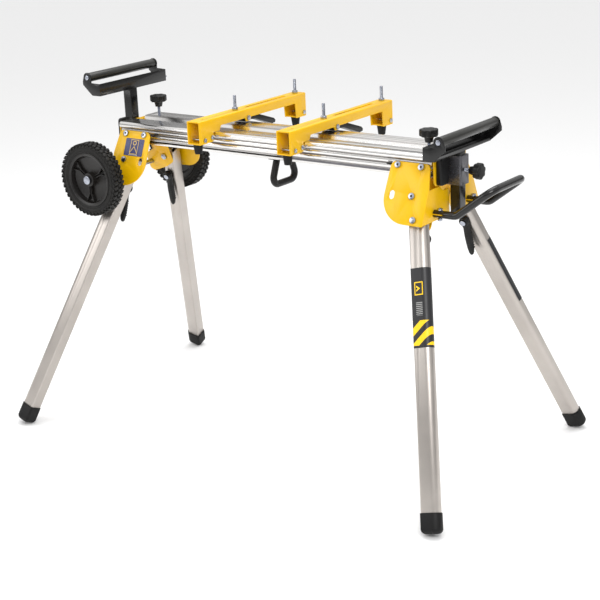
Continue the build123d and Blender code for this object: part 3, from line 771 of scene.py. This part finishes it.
@dataclass
class LegDress:
    """Tube, foot, lever and film of one leg."""

    end: str
    which: str

    def direction(self) -> Vector:
        """Down the leg, from its pivot to its foot."""
        pivot = Vector(joint(f"{self.end}_{self.which}_leg_fold")["pos_m"])
        foot = middle(f"{self.end}_{self.which}_foot")
        return (foot - pivot).normalized()

    def build(self) -> None:
        """Soften the CAD pieces and model the lever."""
        name = f"{self.end}_{self.which}"
        leg_body = f"{name}_leg_assembly"
        softened(f"{name}_leg", leg_body, Tone.LEG, 0.0004)
        softened(f"{name}_foot", leg_body, Tone.RUBBER, 0.0008)
        softened(f"{name}_leg_lever_rivet", leg_body, Tone.ZINC, 0.0008)
        self.lever(name)

    def lever(self, name: str) -> None:
        """Moulded lever: round boss, slim neck, bowed grip and finger notches along one edge."""
        node = f"{name}_leg_lever"
        press = joint(f"{name}_lever_press")
        normal = Vector(press["axis"]).normalized()
        pivot = Vector(press["pos_m"])
        if normal.y * pivot.y > 0:
            normal.negate()
        corners = points(node)
        floor = min(c.dot(normal) for c in corners)
        thick = max(c.dot(normal) for c in corners) - floor
        pivot += normal * (floor - pivot.dot(normal))
        flat = [(c - pivot) - normal * (c - pivot).dot(normal) for c in corners]
        reach = max(v.length for v in flat)
        down = max(flat, key=lambda v: v.length)
        down = (down + sum((v for v in flat if v.length > reach - 0.004), Vector())).normalized()
        over = normal.cross(down)
        boss = max((c - pivot).dot(normal) for c, v in zip(corners, flat) if v.dot(down) < 0.0)
        rise = thick - boss + 0.002
        bend = 0.0165
        outwards = -1.0 if self.which == "front" else 1.0

        def lifted(run: float, share: float) -> float:
            """Height over the leg at a run down the lever, at a share of its thickness."""
            slope = max(0.0, (run - bend) / (reach - bend))
            return rise * slope + (boss - 0.002 * slope) * share

        sections = (
            (-0.0122, 0.003, 0.25, 0.45), (-0.0105, 0.007, 0.1, 0.62), (-0.005, 0.0112, 0.02, 0.74),
            (0.003, 0.0118, 0.0, 0.78), (0.011, 0.0104, 0.0, 0.8), (0.019, 0.0082, 0.0, 0.86),
            (0.028, 0.0086, 0.03, 0.93), (0.045, 0.0092, 0.06, 0.97), (0.062, 0.0088, 0.1, 0.98),
            (reach - 0.015, 0.0078, 0.14, 0.98), (reach - 0.007, 0.0062, 0.2, 0.96),
            (reach - 0.003, 0.0041, 0.28, 0.9), (reach - 0.0012, 0.0018, 0.4, 0.8),
        )
        rings = []
        for run, half, low, high in sections:
            ring = []
            for n in range(20):
                angle = 2 * math.pi * n / 20
                c, d = math.cos(angle), math.sin(angle)
                side = half * math.copysign(abs(c) ** 0.62, c)
                share = (low + high) / 2 + (high - low) / 2 * math.copysign(abs(d) ** 0.62, d)
                ring.append(pivot + down * run + over * side + normal * lifted(run, share))
            rings.append(ring)
        grip = loft(f"{name}_lever_grip", rings)
        parts = [grip, lathe("boss", [(0.0078, boss * 0.7), (0.0118, boss * 0.7), (0.0118, boss * 0.9),
                                      (0.0108, boss), (0.0088, boss), (0.0078, boss * 0.92)], pivot, normal, 40)]
        turn = Matrix((over, down, normal)).transposed().to_4x4()
        for n in range(7):
            run = 0.033 + 0.0062 * n
            spot = pivot + down * run + over * outwards * 0.0079 + normal * lifted(run, 0.52)
            parts.append(drum("notch", spot, normal, 0.0019, boss * 0.6, 0.0005, 12))
            bar = block("bar", (0, 0, 0), (0.0125 - 0.0004 * n, 0.0018, 0.0012), 0.0005)
            bar.data.transform(Matrix.Translation(pivot + down * run + normal * lifted(run, 0.96)) @ turn)
            parts.append(bar)
        piece = join(f"{name}_lever_grip", parts)
        fit(piece, f"{name}_lever_body", Tone.PLASTIC)
        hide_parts(node)

    def film(self, start: float, length: float, striped: bool) -> None:
        """Printed film round the leg's outer face.

        Args:
            start: Distance of its top below the pivot.
            length: How far it runs down the leg.
            striped: Whether it has the sign and the stripes.
        """
        name = f"{self.end}_{self.which}"
        fold = joint(f"{name}_leg_fold")
        pivot = Vector(fold["pos_m"])
        down = self.direction()
        normal = Vector(fold["axis"])
        if normal.y * pivot.y < 0:
            normal.negate()
        down = (down - normal * down.dot(normal)).normalized()
        over = down.cross(normal)
        shell = bpy.data.objects.new(f"{name}_film", frame["nodes"][f"{name}_leg"].data.copy())
        bpy.context.scene.collection.objects.link(shell)
        mesh = bmesh.new()
        mesh.from_mesh(shell.data)
        bmesh.ops.remove_doubles(mesh, verts=mesh.verts, dist=0.000005)
        for spot, way in ((pivot + down * start, -down), (pivot + down * (start + length), down),
                          (pivot - normal * 0.006, -normal)):
            bmesh.ops.bisect_plane(mesh, geom=mesh.verts[:] + mesh.edges[:] + mesh.faces[:], plane_co=spot,
                                   plane_no=way, clear_outer=True)
        doomed = []
        for face in mesh.faces:
            spoke = face.calc_center_median() - pivot
            spoke -= down * spoke.dot(down)
            if face.normal.dot(spoke) <= 0 or abs(face.normal.dot(down)) > 0.5:
                doomed.append(face)
        bmesh.ops.delete(mesh, geom=doomed, context="FACES")
        mesh.normal_update()
        for vertex in mesh.verts:
            vertex.co += vertex.normal * 0.00025
        mesh.to_mesh(shell.data)
        mesh.free()
        modify(shell, "SOLIDIFY", thickness=0.0003, offset=1.0)
        smooth(shell)
        top = pivot + down * start
        coat(shell, LegFilm(f"{name}_film_print", tuple(top), tuple(down), tuple(over), length, striped).make())
        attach(shell, f"{name}_leg_assembly")


@dataclass
class Stand:
    """Beam, plates, axle and handles."""

    soft: dict[str, Tone] = field(default_factory=lambda: {
        "beam_extrusion": Tone.BEAM,
        "groove_plugs": Tone.PLASTIC,
        "right_outer_plates": Tone.YELLOW,
        "left_outer_plates": Tone.YELLOW,
        "inner_plates": Tone.YELLOW,
        "stand_bolts": Tone.ZINC,
        "leg_pivots": Tone.ZINC,
        "wheel_axle": Tone.ZINC,
        "carry_handle": Tone.PLASTIC,
        "tow_handle": Tone.BLACK_STEEL,
    })

    def build(self) -> None:
        """Soften and dress every fixed piece."""
        widths = {"stand_bolts": 0.0016, "leg_pivots": 0.0016, "wheel_axle": 0.0016, "right_outer_plates": 0.001,
                  "left_outer_plates": 0.001}
        for node, choice in self.soft.items():
            softened(node, "stand", choice, widths.get(node, 0.0006))
        lean = math.radians(23.0)
        out = (0.0, -math.cos(lean), math.sin(lean)), (0.0, math.cos(lean), math.sin(lean))
        socket_shades("stand_bolt_socket_shades", "stand_bolts", (*out, (0.0, 0.0, 1.0)), "stand", 0.0031)
        self.label()

    def label(self) -> None:
        """Dress the plate's printed film."""
        node = frame["nodes"]["plate_label"]
        lean = math.radians(23.0)
        coat(node, PlateFilm(tuple(middle("plate_label")), (0.0, math.sin(lean), math.cos(lean))).make())


@dataclass
class WorkRest:
    """Arm, sleeve, post and roller of one end."""

    end: str

    def build(self) -> None:
        """Soften and dress the arm and the work rest."""
        side = 1.0 if self.end == "right" else -1.0
        arm, rest = f"{self.end}_arm", f"{self.end}_rest"
        softened(f"{self.end}_arm_tube", arm, Tone.DARK_STEEL)
        softened(f"{self.end}_end_plate", arm, Tone.YELLOW, 0.0009)
        softened(f"{self.end}_arm_cap", arm, Tone.PLASTIC, 0.0009)
        softened(f"{self.end}_sleeve", arm, Tone.DARK_STEEL, 0.0009)
        softened(f"{self.end}_post", rest, Tone.BLACK_STEEL, 0.0008)
        softened(f"{self.end}_roller_frame", rest, Tone.BLACK_STEEL, 0.0007)
        softened(f"{self.end}_roller_axle", rest, Tone.ZINC, 0.0008)
        softened(f"{self.end}_roller", f"{self.end}_roller_body", Tone.ROLLER, 0.001)
        if self.end == "left":
            softened("left_stop_finger", rest, Tone.ZINC)
        knob_axis = (side, 0.0, 0.0) if side > 0 else (0.0, 1.0, 0.0)
        StarKnob(f"{self.end}_sleeve_knob", f"{self.end}_sleeve_knob_body", knob_axis, 0.019).build()
        StarKnob(f"{self.end}_arm_knob", f"{self.end}_arm_knob_body", (0.0, 0.0, 1.0), 0.022).build()


@dataclass
class SawBracket:
    """Channel, studs, cone feet and clamp lever of one saw bracket."""

    end: str

    def build(self) -> None:
        """Soften and dress the bracket."""
        body = f"{self.end}_bracket"
        softened(f"{self.end}_saw_bracket", body, Tone.YELLOW, 0.0009)
        softened(f"{self.end}_cone_feet", body, Tone.RUBBER, 0.001)
        softened(f"{self.end}_bracket_fasteners", body, Tone.ZINC, 0.0006)
        softened(f"{self.end}_clamp_lever", f"{self.end}_clamp", Tone.PLASTIC, 0.0016)


@dataclass(frozen=True)
class Studio:
    """Camera, floor and soft lights."""

    lens: float = 88.484
    yaw: float = 36.7883
    pitch: float = 18.007
    roll: float = -2.4942
    camera_at: Point = (2.14808, -2.83010, 1.49433)

    def camera(self) -> None:
        """Set up the camera."""
        yaw, pitch, roll = (math.radians(a) for a in (self.yaw, self.pitch, self.roll))
        back = Vector((math.sin(yaw) * math.cos(pitch), -math.cos(yaw) * math.cos(pitch), math.sin(pitch)))
        right = Vector((math.cos(yaw), math.sin(yaw), 0.0))
        up = back.cross(right)
        rolled_right = right * math.cos(roll) + up * math.sin(roll)
        rolled_up = up * math.cos(roll) - right * math.sin(roll)
        data = bpy.data.cameras.new("camera")
        data.lens = self.lens
        data.sensor_width = 36.0
        camera = bpy.data.objects.new("camera", data)
        bpy.context.scene.collection.objects.link(camera)
        turn = Matrix((rolled_right, rolled_up, back)).transposed().to_4x4()
        camera.matrix_world = Matrix.Translation(self.camera_at) @ turn
        bpy.context.scene.camera = camera

    def light(self, name: str, spot: Point, aim: Point, size: float, power: float) -> None:
        """Add one square soft light."""
        data = bpy.data.lights.new(name, "AREA")
        data.size = size
        data.energy = power
        lamp = bpy.data.objects.new(name, data)
        bpy.context.scene.collection.objects.link(lamp)
        way = Vector(spot) - Vector(aim)
        turn = way.to_track_quat("Z", "Y").to_matrix().to_4x4()
        lamp.matrix_world = Matrix.Translation(spot) @ turn

    def build(self) -> None:
        """Make the floor, the world and the lights."""
        self.camera()
        bpy.ops.object.select_all(action="DESELECT")
        bpy.ops.mesh.primitive_plane_add(size=40.0, location=(0.0, 0.0, -0.0005))
        floor = bpy.context.object
        floor.name = "studio_floor"
        sheet = Sheet("studio_floor")
        sheet.feed("Base Color", rgba(0.93, 0.93, 0.93))
        sheet.feed("Roughness", 0.8 + sheet.noise((1.0, 1.0, 1.0), 3.0) * 0.1)
        coat(floor, sheet.material)
        self.sky()
        bpy.context.scene.view_settings.view_transform = "Standard"
        self.light("key", (2.6, -2.2, 2.8), (0.0, 0.0, 0.7), 1.6, 60.0)
        self.light("fill", (-2.4, -2.6, 1.9), (0.0, 0.0, 0.6), 1.8, 24.0)
        self.light("top", (0.0, 0.4, 3.0), (0.0, 0.0, 0.7), 2.0, 40.0)

    def sky(self) -> None:
        """A soft tent: bright overhead and below, a dark band just over the horizon."""
        world = bpy.data.worlds.new("studio")
        world.use_nodes = True
        tree = world.node_tree
        background = tree.nodes["Background"]
        place = tree.nodes.new("ShaderNodeTexCoord")
        split = tree.nodes.new("ShaderNodeSeparateXYZ")
        ramp = tree.nodes.new("ShaderNodeValToRGB")
        tree.links.new(place.outputs["Generated"], split.inputs[0])
        tree.links.new(split.outputs["Z"], ramp.inputs[0])
        tree.links.new(ramp.outputs["Color"], background.inputs["Color"])
        stops = ramp.color_ramp.elements
        stops[0].position, stops[0].color = 0.0, rgba(0.5, 0.5, 0.5)
        stops[1].position, stops[1].color = 1.0, rgba(1.0, 1.0, 1.0)
        for position, shade in ((0.05, 0.4), (0.12, 0.22), (0.2, 0.24), (0.3, 0.9)):
            stop = stops.new(position)
            stop.color = rgba(shade, shade, shade)
        background.inputs["Strength"].default_value = 1.0
        bpy.context.scene.world = world


def legs() -> Iterable[LegDress]:
    """The four legs."""
    for end in ("left", "right"):
        for which in ("front", "back"):
            yield LegDress(end, which)


def main() -> None:
    """Build the whole visual model."""
    logging.basicConfig(level=logging.INFO, format="%(name)s: %(message)s")
    Studio().build()
    Stand().build()
    for leg in legs():
        leg.build()
    LegDress("right", "front").film(0.105, 0.18, True)
    LegDress("right", "back").film(0.105, 0.185, False)
    for which, side in (("front", -1.0), ("back", 1.0)):
        Wheel(which, side).build()
    for end in ("left", "right"):
        WorkRest(end).build()
        SawBracket(end).build()


if __name__ == "__main__":
    main()
